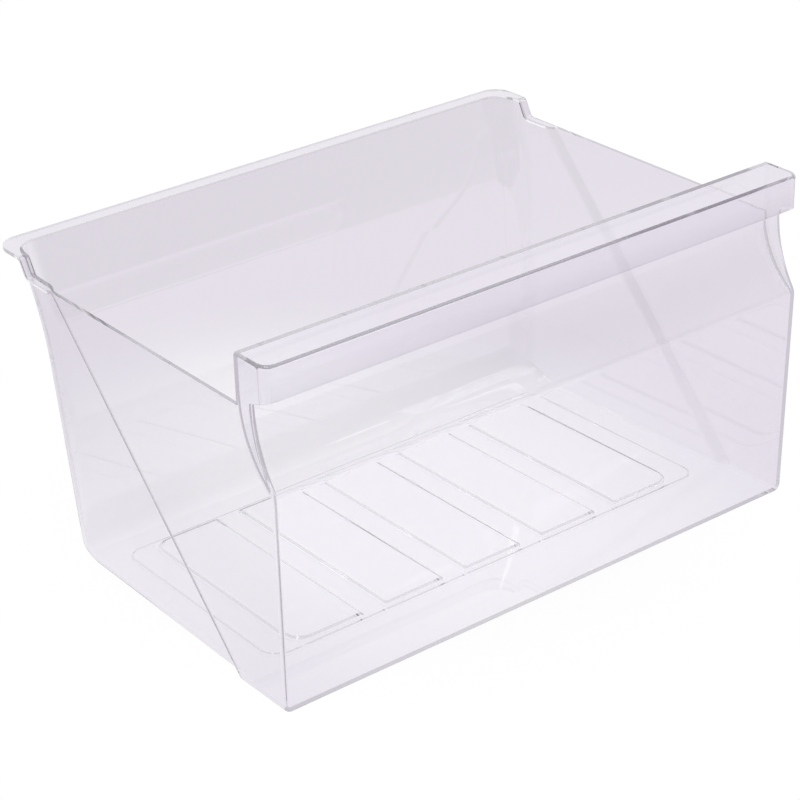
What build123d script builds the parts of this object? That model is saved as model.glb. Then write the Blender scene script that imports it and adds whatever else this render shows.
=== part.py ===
from build123d import *
import os
from math import asin, cos, degrees, radians, sin, tan

# Driving sizes in millimetres and degrees; distances run back from the front panel's outer face
depth = 281.0               # front panel to the rear rim's edge
front_half_width = 202.4    # half the front panel's width at the floor
wall = 2.5                  # thickness of every wall of the moulding
panel_height = 138.9        # flat part of the front panel
handle_height = 219.8       # top of the handle
side_height = 187.4         # plain top edge of the side walls

# Side walls: a wider front part and a set-in rear part that meet at a slanting step
front_draft = 1.2           # lean of the front part
front_taper = 0.8           # narrowing of the front part towards the rear
rear_draft = 2.8            # lean of the rear part
rear_taper = 2.2            # narrowing of the rear part towards the rear
step_head = 23.3            # how far ahead of the rim's rise the step meets the top edge
step_angle = 45.8           # slant of the step above the floor
step_depth = 4.1            # how far the rear part is set in at the step's foot
step_slope = 56.0           # slope of the step's face away from square to the wall
step_root = 4.0             # rounding where the step runs out on the rear part, outside

# Outer roundings of the tub
front_round = 1.3           # edges of the front panel, outside
front_root = 1.0            # edges of the front panel, inside
bottom_round = 5.0          # bottom edges of the side walls and the step's edge on the front part
corner_round = 20.0         # upright rear corners

# Rear wall: a gentle lean, a flare above it and a heel curve down to the floor
rear_overhang = 44.5        # how far the rim's edge stands behind the wall's foot
rear_lean = 6.3             # lean of the lower wall
rear_flare = 22.0           # lean of the upper wall
bend_height = 147.4         # height of the bend between them
bend_radius = 150.0         # radius of the bend
heel_radius = 34.0          # radius of the heel curve
heel_turn = 74.0            # angle of the heel curve where it meets the wall

# Finger recess of the front panel, closed at each end by a cheek of the side wall
recess_depth = 28.0         # set-back of the panel behind the handle
recess_drop = 25.4          # how far below the handle's top the panel is upright again
kink_round = 6.0            # rounding where the panel starts to turn back
recess_lead = 0.1           # how far ahead of the panel's face that rounding starts
cheek_depth = 17.2          # set-back of the cheek's edge just under the handle
cheek_round = 10.0          # rounding where the cheek's edge leaves the panel

# Handle: a box open below, with a lip in front
lip_height = 21.7           # lip, from its lower edge to the handle's top
lip_setback = 2.0           # set-back of the lip's lower edge
lip_lean = 0.6              # how much further back the lip's top edge lies
mouth_slope = 17.5          # slope of the handle's open underside, falling towards the rear
handle_round = 8.0          # upright front corners
lip_round = 2.2             # top edges

# Rim: a flange round the rear that steps down along the sides
rim_thickness = 2.5
rim_lift = 11.5             # height of the rear part above the side walls
rim_length = 29.0           # length of the raised part along the sides
rim_rise = 6.5              # length of the rise
rim_rise_round = 4.0        # rounding of the rise
rim_round = 13.5            # corners in plan

# Floor: a raised middle with raised pads on it, the underside following
plateau_front = 49.0        # front edge of the raised middle
plateau_side_gap = 28.4     # from its side edges to the side walls at the front
plateau_rear_gap = 30.5     # from its rear edge to the rear wall's foot
plateau_rise = 0.6
plateau_round = 12.0
pad_count = 5
pad_pitch = 63.5
channel_width = 16.0        # gap between two pads
pad_front_gap = 4.0         # from the raised middle's edges to the pads
pad_side_gap = 18.5
pad_rear_gap = 3.0
pad_rise = 1.3
pad_round = 3.5
outer_pad_round = 13.0
pad_fan = 1.2               # turn of the outermost edges towards the middle, going back
pad_slope = 55.0            # slope of the raised edges away from the upright

# Planes and places worked out from the driving sizes
front = -depth / 2
span = 1.2 * front_half_width
head = handle_height + 4 * wall
rim_height = side_height + rim_lift
rim_rise_end = depth - rim_length
rim_rise_start = rim_rise_end - rim_rise
rear_foot = depth - rear_overhang
step_top = rim_rise_start - step_head
step_foot = step_top - side_height / tan(radians(step_angle))
plateau_half_width = front_half_width - plateau_side_gap
plateau_rear = rear_foot - plateau_rear_gap
outer_pad_edge = plateau_half_width - pad_side_gap
panel_back = recess_depth + wall
recess_rise = handle_height - recess_drop - panel_height
lip_bottom = handle_height - lip_height
cheek_top = lip_bottom - (cheek_depth - lip_setback) * tan(radians(mouth_slope))
step_run = (step_depth + bottom_round) * tan(radians(step_slope)) / sin(radians(step_angle))
section = Plane(origin=(0, front, 0), x_dir=(0, 1, 0), z_dir=(1, 0, 0))
front_side = Plane(
    origin=(front_half_width, front, 0),
    z_dir=(1, tan(radians(front_taper)), -tan(radians(front_draft))),
)
rear_side = Plane(
    origin=(front_half_width - step_foot * tan(radians(front_taper)) - step_depth, front + step_foot, 0),
    z_dir=(1, tan(radians(rear_taper)), -tan(radians(rear_draft))),
)
step = Plane(
    origin=(front_half_width, front + step_foot, 0),
    z_dir=(tan(radians(step_slope)), sin(radians(step_angle)), -cos(radians(step_angle))),
)
overlap_start = Plane(
    origin=(0, front + step_foot, 0),
    z_dir=(0, sin(radians(step_angle)), -cos(radians(step_angle))),
)
overlap_end = Plane(
    origin=(0, front + step_foot + step_run, 0),
    z_dir=(0, sin(radians(step_angle)), -cos(radians(step_angle))),
)


def setback_edge(start, set_back, rise, rounding, inset=0):
    """Draw an upright edge that turns back round a bulge and a hollow and ends upright again."""
    reach = (rise**2 + set_back**2) / (2 * set_back)
    turn = degrees(asin(rise / reach))
    bulge = JernArc(start, (0, 1), rounding - inset, -turn)
    return JernArc(bulge @ 1, bulge % 1, reach - rounding + inset, turn)


def front_body(set_back, rise, rounding, inset, edge_round):
    """Right half of the tub's body ahead of the step, with every face moved in by the inset."""
    with BuildPart() as body:
        with BuildSketch(section):
            with BuildLine():
                foot = Line((inset, inset), (inset, panel_height))
                curve = setback_edge(foot @ 1, set_back, rise, rounding, inset)
                Polyline(curve @ 1, ((curve @ 1).X, head), (depth, head), (depth, inset), foot @ 0)
            make_face()
        extrude(amount=span)
        split(bisect_by=front_side.offset(-inset), keep=Keep.BOTTOM)
        fillet(body.faces().sort_by(Axis.X)[-1].edges().sort_by(Axis.Z)[0], bottom_round - inset)
        fillet(body.faces().sort_by(Axis.Y)[0].edges().sort_by(Axis.Z)[0], edge_round)
        split(bisect_by=step.offset(-inset), keep=Keep.BOTTOM)
        crease = Axis((0, 0, 0), front_side.z_dir.cross(step.z_dir))
        fillet(body.edges().filter_by(crease), bottom_round - inset)
        split(bisect_by=overlap_end, keep=Keep.BOTTOM)
    return body.part


def rear_body(inset):
    """Right half of the tub's body behind the step, with every face moved in by the inset."""
    bend = rear_foot + bend_height * tan(radians(rear_lean))
    top = bend + (head - bend_height) * tan(radians(rear_flare))
    heel_rise = heel_radius * (1 - cos(radians(heel_turn)))
    heel = rear_foot + heel_rise * tan(radians(rear_lean)) - heel_radius * sin(radians(heel_turn))
    with BuildPart() as body:
        with BuildSketch(section) as profile:
            with BuildLine():
                Polyline((0, 0), (rear_foot, 0), (bend, bend_height), (top, head), (0, head), close=True)
            make_face()
            fillet(profile.vertices().sort_by_distance((bend, bend_height))[0], bend_radius)
            offset(amount=-inset, kind=Kind.INTERSECTION, mode=Mode.REPLACE)
        extrude(amount=span)
        split(bisect_by=rear_side.offset(-inset), keep=Keep.BOTTOM)
        side = body.faces().sort_by(Axis.X)[-1]
        uprights = side.edges().filter_by_position(Axis.Y, front + 0.8 * rear_foot, front + 2 * depth)
        fillet(uprights, corner_round - inset)
        with BuildSketch(section):
            with BuildLine():
                floor = Line((-wall, 0), (heel, 0))
                curve = JernArc(floor @ 1, (1, 0), heel_radius, heel_turn)
                rise = Line(curve @ 1, curve @ 1 + 2 * heel_radius * (curve % 1))
                shelf = (rise @ 1).Y
                Polyline(rise @ 1, (2 * depth, shelf), (2 * depth, 2 * head), (-wall, 2 * head), floor @ 0)
            make_face()
            offset(amount=-inset, kind=Kind.INTERSECTION, mode=Mode.REPLACE)
        extrude(amount=span, mode=Mode.INTERSECT)
        floor_side = body.faces().sort_by(Axis.Z)[0].edges().sort_by(Axis.X)[-1]
        fillet(floor_side, bottom_round - inset)
        split(bisect_by=overlap_start, keep=Keep.TOP)
    return body.part


def tub_body(front_part, inset):
    """Right half of the whole tub's body, rounded where the step runs out on the rear part."""
    with BuildPart() as body:
        add(front_part)
        add(rear_body(inset))
        with Locations((0, 0, inset)):
            add(sky.part, mode=Mode.SUBTRACT)
        crease = Axis((0, 0, 0), rear_side.z_dir.cross(step.z_dir))
        fillet(body.edges().filter_by(crease), step_root + inset)
    return body.part


def floor_outline(level, front_edge, rear_edge, edges, rounding, outer_rounding):
    """Sketch strips of the floor side by side at a level, fanning in slightly towards the rear."""
    fan = tan(radians(pad_fan)) * (rear_edge - front_edge) / outer_pad_edge
    with BuildSketch(Plane(origin=(0, front, level))) as outline:
        for left, right in edges:
            with BuildLine():
                Polyline(
                    (left, front_edge),
                    (right, front_edge),
                    (right * (1 - fan), rear_edge),
                    (left * (1 - fan), rear_edge),
                    close=True,
                )
            make_face()
        corners = outline.vertices().sort_by(Axis.X)
        fillet(corners[:2] + corners[-2:], outer_rounding)
        if len(corners) > 4:
            fillet(corners[2:-2], rounding)
    return outline.sketch


# Handle: the right half of a box, hollowed from below and rounded along its top
with BuildPart() as handle:
    with BuildSketch(section):
        with BuildLine():
            Polyline(
                (lip_setback, lip_bottom),
                (lip_setback + lip_lean, handle_height),
                (panel_back, handle_height),
                (panel_back, lip_bottom - (panel_back - lip_setback) * tan(radians(mouth_slope))),
                close=True,
            )
        make_face()
    extrude(amount=span)
    split(bisect_by=front_side, keep=Keep.BOTTOM)
    fillet(handle.faces().sort_by(Axis.X)[-1].edges().sort_by(Axis.Y)[0], handle_round)
    offset(amount=-wall, openings=[handle.faces().sort_by(Axis.Z)[0], handle.faces().sort_by(Axis.X)[0]])
    fillet(handle.faces().sort_by(Axis.Z)[-1].edges().sort_by(Axis.Y)[0], lip_round)

# Rim: the right half of the flange, flush with the front part of the side wall
with BuildPart() as rim:
    with BuildSketch(section):
        with BuildLine():
            FilletPolyline(
                (step_top, side_height),
                (rim_rise_start, side_height),
                (rim_rise_end, rim_height),
                (depth, rim_height),
                radius=rim_rise_round,
            )
            offset(amount=rim_thickness, side=Side.RIGHT)
        make_face()
    extrude(amount=span)
    split(bisect_by=front_side, keep=Keep.BOTTOM)
    fillet(rim.faces().sort_by(Axis.X)[-1].edges().sort_by(Axis.Y)[-1], rim_round)

# Finger recess: the right half of the space under the handle, between the cheeks
with BuildPart() as recess:
    with BuildSketch(section):
        with BuildLine():
            lead = (-recess_lead, panel_height)
            face = setback_edge(lead, recess_depth + recess_lead, recess_rise, kink_round)
            Polyline(
                face @ 1,
                (recess_depth, handle_height - handle_round),
                (cheek_depth, handle_height - handle_round),
                (cheek_depth, cheek_top),
                (-handle_round, lip_bottom + (handle_round + lip_setback) * tan(radians(mouth_slope))),
                (-handle_round, panel_height),
                lead,
            )
        make_face()
    extrude(amount=span)
    split(bisect_by=front_side.offset(-wall), keep=Keep.BOTTOM)

# Sky: the right half of the space above the walls' top edge and where the handle goes
with BuildPart() as sky:
    with BuildSketch(section):
        with BuildLine():
            edge = FilletPolyline(
                (panel_back, side_height),
                (rim_rise_start, side_height),
                (rim_rise_end, rim_height),
                (2 * depth, rim_height),
                radius=rim_rise_round,
            )
            Polyline(
                edge @ 1,
                (2 * depth, 2 * head),
                (-wall, 2 * head),
                (-wall, lip_bottom),
                (panel_back, lip_bottom),
                edge @ 0,
            )
        make_face()
    extrude(amount=span)

# Tub: the right half of the walls, opened from above and under the handle
outside = front_body(cheek_depth, cheek_top - panel_height, cheek_round, 0, front_round)
inside = front_body(recess_depth, recess_rise, kink_round, wall, front_root)
with BuildPart() as half:
    add(tub_body(outside, 0))
    add(handle.part)
    add(rim.part)
    add(tub_body(inside, wall), mode=Mode.SUBTRACT)
    add(recess.part, mode=Mode.SUBTRACT)

# Drawer: both halves in one piece, with the raised middle and the pads of the floor
pad_edges = [outer_pad_edge]
for channel in range(1, pad_count):
    middle = (pad_count / 2 - channel) * pad_pitch
    pad_edges += [middle + channel_width / 2, middle - channel_width / 2]
pad_edges.append(-outer_pad_edge)
pads = list(zip(pad_edges[1::2], pad_edges[::2]))
plateau = [(-plateau_half_width, plateau_half_width)]
pad_front = plateau_front + pad_front_gap
pad_rear = plateau_rear - pad_rear_gap
with BuildPart() as drawer:
    add(half.part)
    mirror(about=Plane.YZ)
    for level, mode in ((wall, Mode.ADD), (0, Mode.SUBTRACT)):
        raised = floor_outline(level, plateau_front, plateau_rear, plateau, pad_round, plateau_round)
        extrude(raised, amount=plateau_rise, taper=pad_slope, mode=mode)
        strips = floor_outline(level + plateau_rise, pad_front, pad_rear, pads, pad_round, outer_pad_round)
        extrude(strips, amount=pad_rise, taper=pad_slope, mode=mode)

drawer.part.label = "freezer_drawer"
os.makedirs("parts", exist_ok=True)
export_step(drawer.part, "parts/freezer_drawer.step")
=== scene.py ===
"""Looks of a clear moulded freezer drawer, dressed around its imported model.

Lengths are in metres, lamp powers in watts. The drawer is one moulding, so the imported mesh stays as
it is and gets its clear plastic here, on a white floor in soft light.
"""

import logging
import math
from dataclasses import dataclass, field
from enum import Enum

import bpy
from mathutils import Matrix, Vector


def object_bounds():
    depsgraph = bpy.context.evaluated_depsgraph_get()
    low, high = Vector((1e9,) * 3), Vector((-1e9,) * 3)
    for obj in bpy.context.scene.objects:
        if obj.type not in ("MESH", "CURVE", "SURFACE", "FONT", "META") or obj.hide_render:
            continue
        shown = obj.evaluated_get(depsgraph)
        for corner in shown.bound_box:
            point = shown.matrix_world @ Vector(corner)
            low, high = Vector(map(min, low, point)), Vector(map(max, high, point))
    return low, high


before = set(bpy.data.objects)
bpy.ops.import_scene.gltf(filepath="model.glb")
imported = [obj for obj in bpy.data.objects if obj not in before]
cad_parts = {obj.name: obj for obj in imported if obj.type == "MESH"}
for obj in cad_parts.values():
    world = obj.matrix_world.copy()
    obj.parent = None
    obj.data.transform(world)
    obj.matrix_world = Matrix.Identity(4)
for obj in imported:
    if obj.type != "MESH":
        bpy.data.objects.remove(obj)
CAD_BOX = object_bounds()

Colour = tuple[float, float, float]
Place = tuple[float, float, float]
NodeTree = bpy.types.NodeTree
Node = bpy.types.Node
Socket = bpy.types.NodeSocket

log = logging.getLogger("freezer_drawer")


class SocketKind(Enum):
    """Kinds of socket that the node groups use."""

    VALUE = "NodeSocketFloat"
    VECTOR = "NodeSocketVector"


class Ray(Enum):
    """Kinds of ray that the materials tell apart."""

    CAMERA = "Is Camera Ray"
    GLOSSY = "Is Glossy Ray"
    TRANSMISSION = "Is Transmission Ray"
    SHADOW = "Is Shadow Ray"
    DIFFUSE = "Is Diffuse Ray"


def opaque(colour: Colour) -> tuple[float, float, float, float]:
    """Add a full alpha to a colour."""
    return (*colour, 1.0)


def feed(tree: NodeTree, target: Socket, value: Socket | float | Colour | Place) -> None:
    """Link a socket to an input, or set the input's plain value.

    Args:
        tree: Node tree that holds the input.
        target: Input that takes the value.
        value: Socket to link, or a plain number, colour or vector.
    """
    if isinstance(value, Socket):
        tree.links.new(value, target)
    elif target.type == "RGBA":
        target.default_value = opaque(value)
    else:
        target.default_value = value


def math_node(
    tree: NodeTree, operation: str, first: Socket | float, second: Socket | float
) -> Socket:
    """Join two values by an operation.

    Args:
        tree: Node tree that takes the node.
        operation: Blender's name of the operation.
        first: Socket or plain number on the first input.
        second: Socket or plain number on the second input.

    Returns:
        The socket with the result.
    """
    node = tree.nodes.new("ShaderNodeMath")
    node.operation = operation
    for target, value in zip(node.inputs, (first, second)):
        feed(tree, target, value)
    return node.outputs["Value"]


def remap(
    tree: NodeTree,
    value: Socket,
    low: Socket | float,
    high: Socket | float,
    to_low: float = 0.0,
    to_high: float = 1.0,
) -> Socket:
    """Map a value smoothly from one range to another.

    Args:
        tree: Node tree that takes the node.
        value: Socket with the value.
        low: Value that gives to_low.
        high: Value that gives to_high.
        to_low: Result at low and beyond it.
        to_high: Result at high and beyond it.

    Returns:
        The socket with the result.
    """
    node = tree.nodes.new("ShaderNodeMapRange")
    node.interpolation_type = "SMOOTHSTEP"
    ends = {"From Min": low, "From Max": high, "To Min": to_low, "To Max": to_high}
    for name, end in ({"Value": value} | ends).items():
        feed(tree, node.inputs[name], end)
    return node.outputs["Result"]


def along(tree: NodeTree, vector: Socket, direction: Place) -> Socket:
    """Measure how far a vector goes along a direction.

    Args:
        tree: Node tree that takes the node.
        vector: Socket with the vector.
        direction: Direction of any length.

    Returns:
        The socket with the measure.
    """
    node = tree.nodes.new("ShaderNodeVectorMath")
    node.operation = "DOT_PRODUCT"
    feed(tree, node.inputs[0], vector)
    feed(tree, node.inputs[1], Vector(direction).normalized())
    return node.outputs["Value"]


def any_ray(tree: NodeTree, *rays: Ray) -> Socket:
    """Tell whether the ray is one of the given kinds.

    Args:
        tree: Node tree that takes the nodes.
        rays: Kinds of ray to look for.

    Returns:
        A socket that is 1 for those rays and 0 for others.
    """
    path = tree.nodes.new("ShaderNodeLightPath")
    found = path.outputs[rays[0].value]
    for ray in rays[1:]:
        found = math_node(tree, "MAXIMUM", found, path.outputs[ray.value])
    return found


def mix_colours(
    tree: NodeTree, share: Socket, first: Colour | Socket, second: Colour | Socket
) -> Socket:
    """Mix two colours by a share that varies.

    Args:
        tree: Node tree that takes the node.
        share: Socket with the second colour's share.
        first: Plain colour or socket at a share of 0.
        second: Plain colour or socket at a share of 1.

    Returns:
        The socket with the mixed colour.
    """
    node = tree.nodes.new("ShaderNodeMix")
    node.data_type = "RGBA"
    feed(tree, node.inputs["Factor"], share)
    colour_inputs = (each for each in node.inputs if each.type == "RGBA")
    for target, colour in zip(colour_inputs, (first, second)):
        feed(tree, target, colour)
    return next(each for each in node.outputs if each.type == "RGBA")


def mix_shaders(tree: NodeTree, share: Socket, first: Node, second: Node) -> Socket:
    """Mix two shaders by a share that varies.

    Args:
        tree: Node tree that takes the node.
        share: Socket with the second shader's share.
        first: Shader at a share of 0.
        second: Shader at a share of 1.

    Returns:
        The socket with the mixed shader.
    """
    node = tree.nodes.new("ShaderNodeMixShader")
    for target, source in zip(node.inputs, (share, first.outputs[0], second.outputs[0])):
        feed(tree, target, source)
    return node.outputs["Shader"]


def bare_material(name: str) -> bpy.types.Material:
    """Make a material with an empty node tree.

    Args:
        name: Name of the material.

    Returns:
        The new material.
    """
    material = bpy.data.materials.new(name)
    material.use_nodes = True
    material.node_tree.nodes.clear()
    return material


class EffectGroup:
    """A shader node group that reads surface coordinates and puts out one mask."""

    def __init__(self, name: str, numbers: tuple[str, ...], mask: str) -> None:
        """Make the group and its sockets.

        Args:
            name: Name of the group.
            numbers: Names of the inputs beside the surface coordinates.
            mask: Name of the output.
        """
        self.tree = bpy.data.node_groups.new(name, "ShaderNodeTree")
        kinds = {"Vector": SocketKind.VECTOR} | {each: SocketKind.VALUE for each in numbers}
        for socket, kind in kinds.items():
            self.tree.interface.new_socket(socket, in_out="INPUT", socket_type=kind.value)
        self.tree.interface.new_socket(
            mask, in_out="OUTPUT", socket_type=SocketKind.VALUE.value
        )
        self.given = self.tree.nodes.new("NodeGroupInput").outputs
        self.result = self.tree.nodes.new("NodeGroupOutput").inputs[mask]

    def place(self, tree: NodeTree, vector: Socket, values: dict[str, float]) -> Socket:
        """Put the group into a material.

        Args:
            tree: Node tree of the material.
            vector: Socket with the surface coordinates.
            values: Plain numbers of the group's other inputs.

        Returns:
            The socket with the group's mask in that material.
        """
        node = tree.nodes.new("ShaderNodeGroup")
        node.node_tree = self.tree
        for name, value in ({"Vector": vector} | values).items():
            feed(tree, node.inputs[name], value)
        return node.outputs[0]


class MouldingFlow(EffectGroup):
    """Long soft waves that the melt leaves in a moulded wall."""

    DETAIL = 1.0
    ROUGHNESS = 0.3

    def __init__(self) -> None:
        """Build the waves from noise that is stretched upwards."""
        super().__init__("moulding_flow", ("Scale", "Stretch"), "Waves")
        tree = self.tree
        stretch = tree.nodes.new("ShaderNodeCombineXYZ")
        for axis, length in (("X", 1.0), ("Y", 1.0), ("Z", self.given["Stretch"])):
            feed(tree, stretch.inputs[axis], length)
        drawn = tree.nodes.new("ShaderNodeVectorMath")
        drawn.operation = "MULTIPLY"
        feed(tree, drawn.inputs[0], self.given["Vector"])
        feed(tree, drawn.inputs[1], stretch.outputs["Vector"])
        noise = tree.nodes.new("ShaderNodeTexNoise")
        feed(tree, noise.inputs["Detail"], self.DETAIL)
        feed(tree, noise.inputs["Roughness"], self.ROUGHNESS)
        feed(tree, noise.inputs["Vector"], drawn.outputs["Vector"])
        feed(tree, noise.inputs["Scale"], self.given["Scale"])
        feed(tree, self.result, noise.outputs["Fac"])


class MouldHaze(EffectGroup):
    """Faint cloudy patches where the mould's polish is less even."""

    COARSE_DETAIL = 3.0
    FINE_DETAIL = 1.0
    CLEAR_BELOW = 0.35
    HAZY_ABOVE = 0.7

    def __init__(self) -> None:
        """Build the patches from fine noise within coarse noise."""
        super().__init__("mould_haze", ("Scale", "Grain"), "Haze")
        tree = self.tree
        layers = []
        for size, detail in (("Scale", self.COARSE_DETAIL), ("Grain", self.FINE_DETAIL)):
            noise = tree.nodes.new("ShaderNodeTexNoise")
            feed(tree, noise.inputs["Detail"], detail)
            feed(tree, noise.inputs["Vector"], self.given["Vector"])
            feed(tree, noise.inputs["Scale"], self.given[size])
            layers.append(remap(tree, noise.outputs["Fac"], self.CLEAR_BELOW, self.HAZY_ABOVE))
        feed(tree, self.result, math_node(tree, "MULTIPLY", *layers))


class LipPaintedShade(EffectGroup):
    """Painted shade that darkens the handle's lip towards its foot."""

    def __init__(self) -> None:
        """Build a mask of painted shade that grows down the lip towards its foot."""
        super().__init__("lip_painted_shade", ("Behind", "Start", "Foot"), "PaintedShade")
        tree = self.tree
        axes = tree.nodes.new("ShaderNodeSeparateXYZ")
        feed(tree, axes.inputs["Vector"], self.given["Vector"])
        depth, height = axes.outputs["Y"], axes.outputs["Z"]
        growth = remap(tree, height, self.given["Start"], self.given["Foot"])
        ahead = math_node(tree, "LESS_THAN", depth, self.given["Behind"])
        above = math_node(tree, "GREATER_THAN", height, self.given["Foot"])
        lip = math_node(tree, "MULTIPLY", ahead, above)
        feed(tree, self.result, math_node(tree, "MULTIPLY", growth, lip))


@dataclass(frozen=True)
class ClearPlastic:
    """Clear polystyrene with a faint lilac cast.

    Attributes:
        tint: Colour of the polished surface.
        hazy_tint: Colour of the surface where it is hazy.
        refraction: Index of refraction.
        polish: Roughness of the polished surface.
        hazy_polish: Roughness of the surface where it is hazy.
        haze_scale: Coarseness of the hazy patches.
        haze_grain: Coarseness of the grain within them.
        wave_scale: Coarseness of the melt's waves.
        wave_stretch: Share of their coarseness that is left in height.
        wave_height: Height of the waves.
        painted_shade_tint: Colour of the painted shade at the foot of the handle's lip.
        lip_depth: Distance from the drawer's front to behind the lip.
        painted_shade_drop: Distance from the drawer's top to where the lip's painted shade starts.
        lip_height: Distance from the drawer's top to the lip's foot.
        depth_tint: Colour that the plastic takes on with depth.
        depth_density: Strength of that colour for each metre.
        lamp_pass: Share of the lamps' light that goes straight through a wall.
        lamp_pass_slanted: The same share where the light grazes a wall.
        slant_blend: Bias towards the grazed walls.
        most_reflections: Count of reflections after which a trapped ray goes straight out.
        most_bounces: Count of bounces after which any ray goes straight on.
    """

    tint: Colour = (0.984, 0.976, 0.999)
    hazy_tint: Colour = (0.976, 0.966, 0.994)
    refraction: float = 1.59
    polish: float = 0.012
    hazy_polish: float = 0.05
    haze_scale: float = 14.0
    haze_grain: float = 160.0
    wave_scale: float = 9.0
    wave_stretch: float = 0.45
    wave_height: float = 0.00012
    painted_shade_tint: Colour = (0.885, 0.872, 0.898)
    lip_depth: float = 0.0053
    painted_shade_drop: float = 0.0048
    lip_height: float = 0.0233
    depth_tint: Colour = (0.80, 0.775, 0.83)
    depth_density: float = 8.0
    lamp_pass: Colour = (0.97, 0.965, 0.975)
    lamp_pass_slanted: Colour = (0.54, 0.53, 0.56)
    slant_blend: float = 0.35
    most_reflections: float = 3.5
    most_bounces: float = 9.5

    def moulded_surface(self, tree: NodeTree) -> Node:
        """Add the glassy surface with its haze, waves and painted shade on the lip.

        Args:
            tree: Node tree of the material.

        Returns:
            The shader of the surface.
        """
        place = tree.nodes.new("ShaderNodeTexCoord").outputs["Object"]
        haze = MouldHaze().place(
            tree, place, {"Scale": self.haze_scale, "Grain": self.haze_grain}
        )
        waves = MouldingFlow().place(
            tree, place, {"Scale": self.wave_scale, "Stretch": self.wave_stretch}
        )
        front, top = CAD_BOX[0].y, CAD_BOX[1].z
        lip = {
            "Behind": front + self.lip_depth,
            "Start": top - self.painted_shade_drop,
            "Foot": top - self.lip_height,
        }
        # painted shade: a darker band down the handle's lip towards its foot
        painted_shade = LipPaintedShade().place(tree, place, lip)

        bump = tree.nodes.new("ShaderNodeBump")
        feed(tree, bump.inputs["Distance"], self.wave_height)
        feed(tree, bump.inputs["Height"], waves)
        tint = mix_colours(tree, haze, self.tint, self.hazy_tint)
        inputs = {
            # the painted shade on the lip is mixed into the base colour here
            "Base Color": mix_colours(tree, painted_shade, tint, self.painted_shade_tint),
            "Roughness": remap(tree, haze, 0.0, 1.0, self.polish, self.hazy_polish),
            "IOR": self.refraction,
            "Transmission Weight": 1.0,
            "Normal": bump.outputs["Normal"],
        }
        plastic = tree.nodes.new("ShaderNodeBsdfPrincipled")
        for name, value in inputs.items():
            feed(tree, plastic.inputs[name], value)
        return plastic

    def straight_way(self, tree: NodeTree) -> Node:
        """Add a clear way for light, darker where it grazes a wall.

        Args:
            tree: Node tree of the material.

        Returns:
            The shader of the clear way.
        """
        slant = tree.nodes.new("ShaderNodeLayerWeight")
        feed(tree, slant.inputs["Blend"], self.slant_blend)
        tint = mix_colours(
            tree, slant.outputs["Facing"], self.lamp_pass, self.lamp_pass_slanted
        )
        way = tree.nodes.new("ShaderNodeBsdfTransparent")
        feed(tree, way.inputs["Color"], tint)
        return way

    def goes_straight(self, tree: NodeTree) -> Socket:
        """Pick the rays that take the clear way: the lamps' light and trapped rays.

        Args:
            tree: Node tree of the material.

        Returns:
            A socket that is 1 for those rays and 0 for others.
        """
        path = tree.nodes.new("ShaderNodeLightPath")
        trapped = math_node(
            tree, "GREATER_THAN", path.outputs["Glossy Depth"], self.most_reflections
        )
        lost = math_node(tree, "GREATER_THAN", path.outputs["Ray Depth"], self.most_bounces)
        caught = math_node(tree, "MAXIMUM", trapped, lost)
        return math_node(tree, "MAXIMUM", caught, any_ray(tree, Ray.SHADOW, Ray.DIFFUSE))

    def material(self) -> bpy.types.Material:
        """Make the material.

        Returns:
            Tinted glass that lets the lamps' light through.
        """
        material = bare_material("clear_plastic")
        tree = material.node_tree
        surface = mix_shaders(
            tree, self.goes_straight(tree), self.moulded_surface(tree), self.straight_way(tree)
        )
        depth = tree.nodes.new("ShaderNodeVolumeAbsorption")
        feed(tree, depth.inputs["Color"], self.depth_tint)
        feed(tree, depth.inputs["Density"], self.depth_density)
        result = tree.nodes.new("ShaderNodeOutputMaterial")
        feed(tree, result.inputs["Surface"], surface)
        feed(tree, result.inputs["Volume"], depth.outputs["Volume"])
        return material


@dataclass
class Drawer:
    """The one-piece drawer: tub, handle, rim and floor in one moulding."""

    node: str = "freezer_drawer"
    finish: ClearPlastic = field(default_factory=ClearPlastic)

    def dress(self) -> bpy.types.Object:
        """Give the moulding its clear plastic.

        Returns:
            The moulding's object.
        """
        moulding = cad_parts[self.node]
        moulding.data.materials.clear()
        moulding.data.materials.append(self.finish.material())
        return moulding


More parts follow.
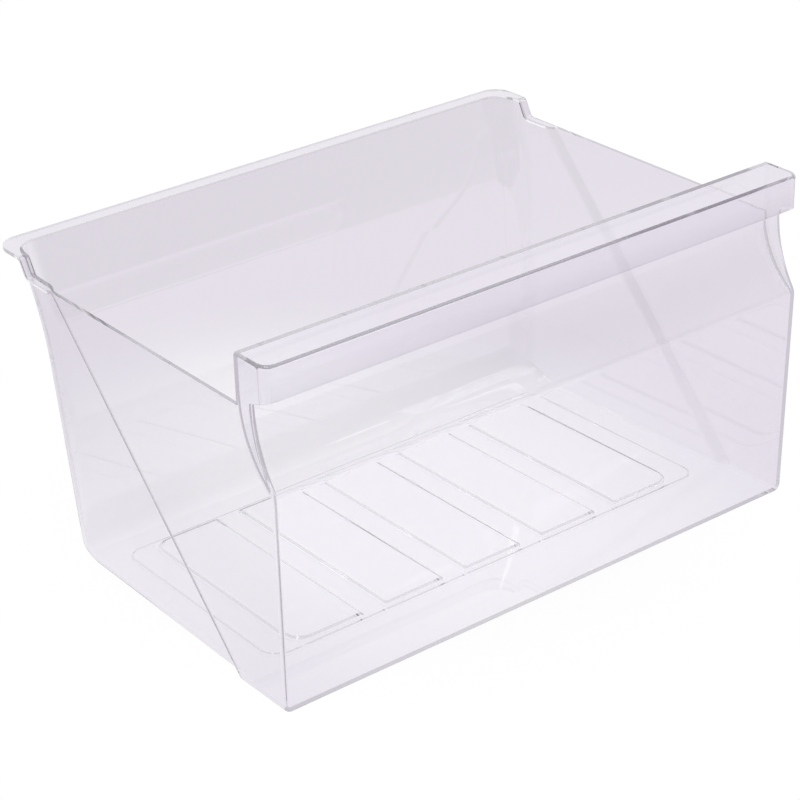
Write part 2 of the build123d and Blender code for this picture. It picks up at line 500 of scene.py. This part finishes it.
@dataclass(frozen=True)
class WhiteSweep:
    """White floor that fades into the background and keeps a faint shadow.

    To the camera it is white all over. Through the plastic it shows a bright pool under the drawer
    that gets dusky further out, and more so on the drawer's left.

    Attributes:
        paper: Colour of the floor in the lamps' light.
        white: Colour of the floor to the camera and in the pool.
        glow_near: Share of that plain colour under the drawer; the rest takes shadows.
        pool_centre: Middle of the pool.
        pool_shape: Stretch of the pool along each axis.
        pool_radius: Distance from the middle at which the pool starts to fade.
        pool_edge: Distance from the middle at which it has faded.
        dusk: Colour beyond the pool.
        leftward: Direction of the left.
        left_near: Distance to the left at which the floor starts to darken.
        left_far: Distance to the left at which it is darkest.
        left_dusk: Colour there.
    """

    paper: Colour = (0.93, 0.93, 0.93)
    white: Colour = (1.0, 1.0, 1.0)
    glow_near: float = 0.90
    pool_centre: Place = (0.0, 0.03, 0.0)
    pool_shape: Place = (0.85, 1.0, 1.0)
    pool_radius: float = 0.08
    pool_edge: float = 0.34
    dusk: Colour = (0.80, 0.768, 0.818)
    leftward: Place = (-1.0, 0.0, 0.0)
    left_near: float = 0.20
    left_far: float = 0.28
    left_dusk: Colour = (0.62, 0.605, 0.63)

    def material(self) -> bpy.types.Material:
        """Make the material.

        Returns:
            White paper that is plain white to the camera away from the drawer.
        """
        material = bare_material("white_sweep")
        tree = material.node_tree
        place = tree.nodes.new("ShaderNodeTexCoord").outputs["Object"]
        pool = tree.nodes.new("ShaderNodeMapping")
        pool.vector_type = "TEXTURE"
        feed(tree, pool.inputs["Location"], self.pool_centre)
        feed(tree, pool.inputs["Scale"], self.pool_shape)
        feed(tree, pool.inputs["Vector"], place)
        reach = tree.nodes.new("ShaderNodeVectorMath")
        reach.operation = "LENGTH"
        feed(tree, reach.inputs[0], pool.outputs["Vector"])
        outside = remap(tree, reach.outputs["Value"], self.pool_radius, self.pool_edge)
        beside = remap(tree, along(tree, place, self.leftward), self.left_near, self.left_far)
        pooled = mix_colours(tree, outside, self.white, self.dusk)
        pooled = mix_colours(tree, beside, pooled, self.left_dusk)

        paper = tree.nodes.new("ShaderNodeBsdfDiffuse")
        feed(tree, paper.inputs["Color"], self.paper)
        glow = tree.nodes.new("ShaderNodeEmission")
        through = any_ray(tree, Ray.GLOSSY, Ray.TRANSMISSION)
        feed(tree, glow.inputs["Color"], mix_colours(tree, through, self.white, pooled))
        seen = any_ray(tree, Ray.CAMERA, Ray.GLOSSY, Ray.TRANSMISSION)
        share = remap(tree, outside, 0.0, 1.0, self.glow_near, 1.0)
        surface = mix_shaders(tree, math_node(tree, "MULTIPLY", seen, share), paper, glow)
        result = tree.nodes.new("ShaderNodeOutputMaterial")
        feed(tree, result.inputs["Surface"], surface)
        return material


@dataclass(frozen=True)
class Softbox:
    """A square lamp with a soft edge to its shadows."""

    name: str
    place: Place
    width: float
    power: float
    aim: Place = (0.0, 0.0, 0.1)

    def build(self) -> bpy.types.Object:
        """Add the lamp and turn it to its aim.

        Returns:
            The lamp's object.
        """
        data = bpy.data.lights.new(self.name, "AREA")
        data.size = self.width
        data.energy = self.power
        lamp = bpy.data.objects.new(self.name, data)
        bpy.context.scene.collection.objects.link(lamp)
        lamp.location = self.place
        ahead = Vector(self.aim) - Vector(self.place)
        lamp.rotation_euler = ahead.to_track_quat("-Z", "Y").to_euler()
        return lamp


@dataclass(frozen=True)
class Room:
    """Soft light from all round, white to the camera.

    What mirrors in the plastic is dim on the camera's side, so that the walls show.

    Attributes:
        ambient: Strength of the light that falls on surfaces.
        bright: Colour of the room.
        dim: Colour of its dim side in the plastic.
        dim_side: Direction of the dim side.
        dim_edge: Share of that direction at which the room starts to dim.
        dim_heart: Share of that direction at which it is dimmest.
    """

    ambient: float = 0.90
    bright: Colour = (1.0, 1.0, 1.0)
    dim: Colour = (0.14, 0.14, 0.15)
    dim_side: Place = (-0.45, -0.65, 0.45)
    dim_edge: float = -0.10
    dim_heart: float = 0.55

    def build(self) -> bpy.types.World:
        """Make the world.

        Returns:
            The scene's new world.
        """
        world = bpy.data.worlds.new("room")
        bpy.context.scene.world = world
        world.use_nodes = True
        tree = world.node_tree
        tree.nodes.clear()
        direction = tree.nodes.new("ShaderNodeTexCoord").outputs["Generated"]
        side = remap(
            tree, along(tree, direction, self.dim_side), self.dim_edge, self.dim_heart
        )
        mirrored = any_ray(tree, Ray.GLOSSY, Ray.TRANSMISSION)
        dimmed = math_node(tree, "MULTIPLY", side, mirrored)
        seen = any_ray(tree, Ray.CAMERA, Ray.GLOSSY, Ray.TRANSMISSION)
        background = tree.nodes.new("ShaderNodeBackground")
        feed(tree, background.inputs["Color"], mix_colours(tree, dimmed, self.bright, self.dim))
        feed(tree, background.inputs["Strength"], remap(tree, seen, 0.0, 1.0, self.ambient, 1.0))
        result = tree.nodes.new("ShaderNodeOutputWorld")
        feed(tree, result.inputs["Surface"], background.outputs["Background"])
        return world


@dataclass(frozen=True)
class Viewpoint:
    """A long lens that looks down on the drawer from its front left.

    Attributes:
        place: Place of the camera.
        heading_deg: Direction of the view, from +Y towards +X.
        dip_deg: Angle of the view below the horizon.
        roll_deg: Turn of the camera about its view.
        lens_mm: Focal length.
        sensor_mm: Width of the sensor.
    """

    place: Place = (-0.9581, -1.1738, 0.8591)
    heading_deg: float = 39.175
    dip_deg: float = 27.260
    roll_deg: float = -0.647
    lens_mm: float = 121.28
    sensor_mm: float = 36.0

    def build(self) -> bpy.types.Object:
        """Add the camera and make it the scene's own.

        Returns:
            The camera's object.
        """
        heading, dip = math.radians(self.heading_deg), math.radians(self.dip_deg)
        ahead = Vector((
            math.sin(heading) * math.cos(dip),
            math.cos(heading) * math.cos(dip),
            -math.sin(dip),
        ))
        right = ahead.cross(Vector((0, 0, 1))).normalized()
        upright = Matrix((right, right.cross(ahead), -ahead)).transposed()
        turn = upright @ Matrix.Rotation(math.radians(self.roll_deg), 3, "Z")
        data = bpy.data.cameras.new("viewpoint")
        data.lens = self.lens_mm
        data.sensor_width = self.sensor_mm
        camera = bpy.data.objects.new("viewpoint", data)
        bpy.context.scene.collection.objects.link(camera)
        camera.matrix_world = Matrix.Translation(self.place) @ turn.to_4x4()
        bpy.context.scene.camera = camera
        return camera


@dataclass
class Studio:
    """Floor, lamps, room light and camera.

    Attributes:
        floor_size: Width of the square floor.
        floor_drop: Distance of the floor below the drawer, so that the two don't share a plane.
        sweep: Finish of the floor.
        room: Light from all round.
        viewpoint: Camera.
        lamps: Softboxes on the left and right.
    """

    floor_size: float = 12.0
    floor_drop: float = 0.0004
    sweep: WhiteSweep = field(default_factory=WhiteSweep)
    room: Room = field(default_factory=Room)
    viewpoint: Viewpoint = field(default_factory=Viewpoint)
    lamps: tuple[Softbox, ...] = (
        Softbox("left_softbox", place=(-0.76, -0.52, 1.74), width=0.7, power=6.5),
        Softbox("right_softbox", place=(1.12, -0.42, 1.60), width=0.10, power=0.04),
    )

    def build_floor(self) -> bpy.types.Object:
        """Lay the white sweep just under the drawer.

        Returns:
            The floor's object.
        """
        bpy.ops.object.select_all(action="DESELECT")
        bpy.ops.mesh.primitive_plane_add(
            size=self.floor_size, location=(0, 0, -self.floor_drop)
        )
        floor = bpy.context.active_object
        floor.name = "white_sweep"
        floor.data.materials.append(self.sweep.material())
        return floor

    def build(self) -> None:
        """Set up the whole studio."""
        bpy.context.scene.view_settings.view_transform = "Standard"
        lamps = (lamp.build for lamp in self.lamps)
        for build in (self.build_floor, *lamps, self.viewpoint.build, self.room.build):
            log.info("stage: %s", build().name)


def main() -> None:
    """Dress the drawer and set up its studio."""
    logging.basicConfig(level=logging.INFO, format="%(name)s: %(message)s")
    moulding = Drawer().dress()
    log.info("piece: %s", moulding.name)
    Studio().build()


if __name__ == "__main__":
    main()
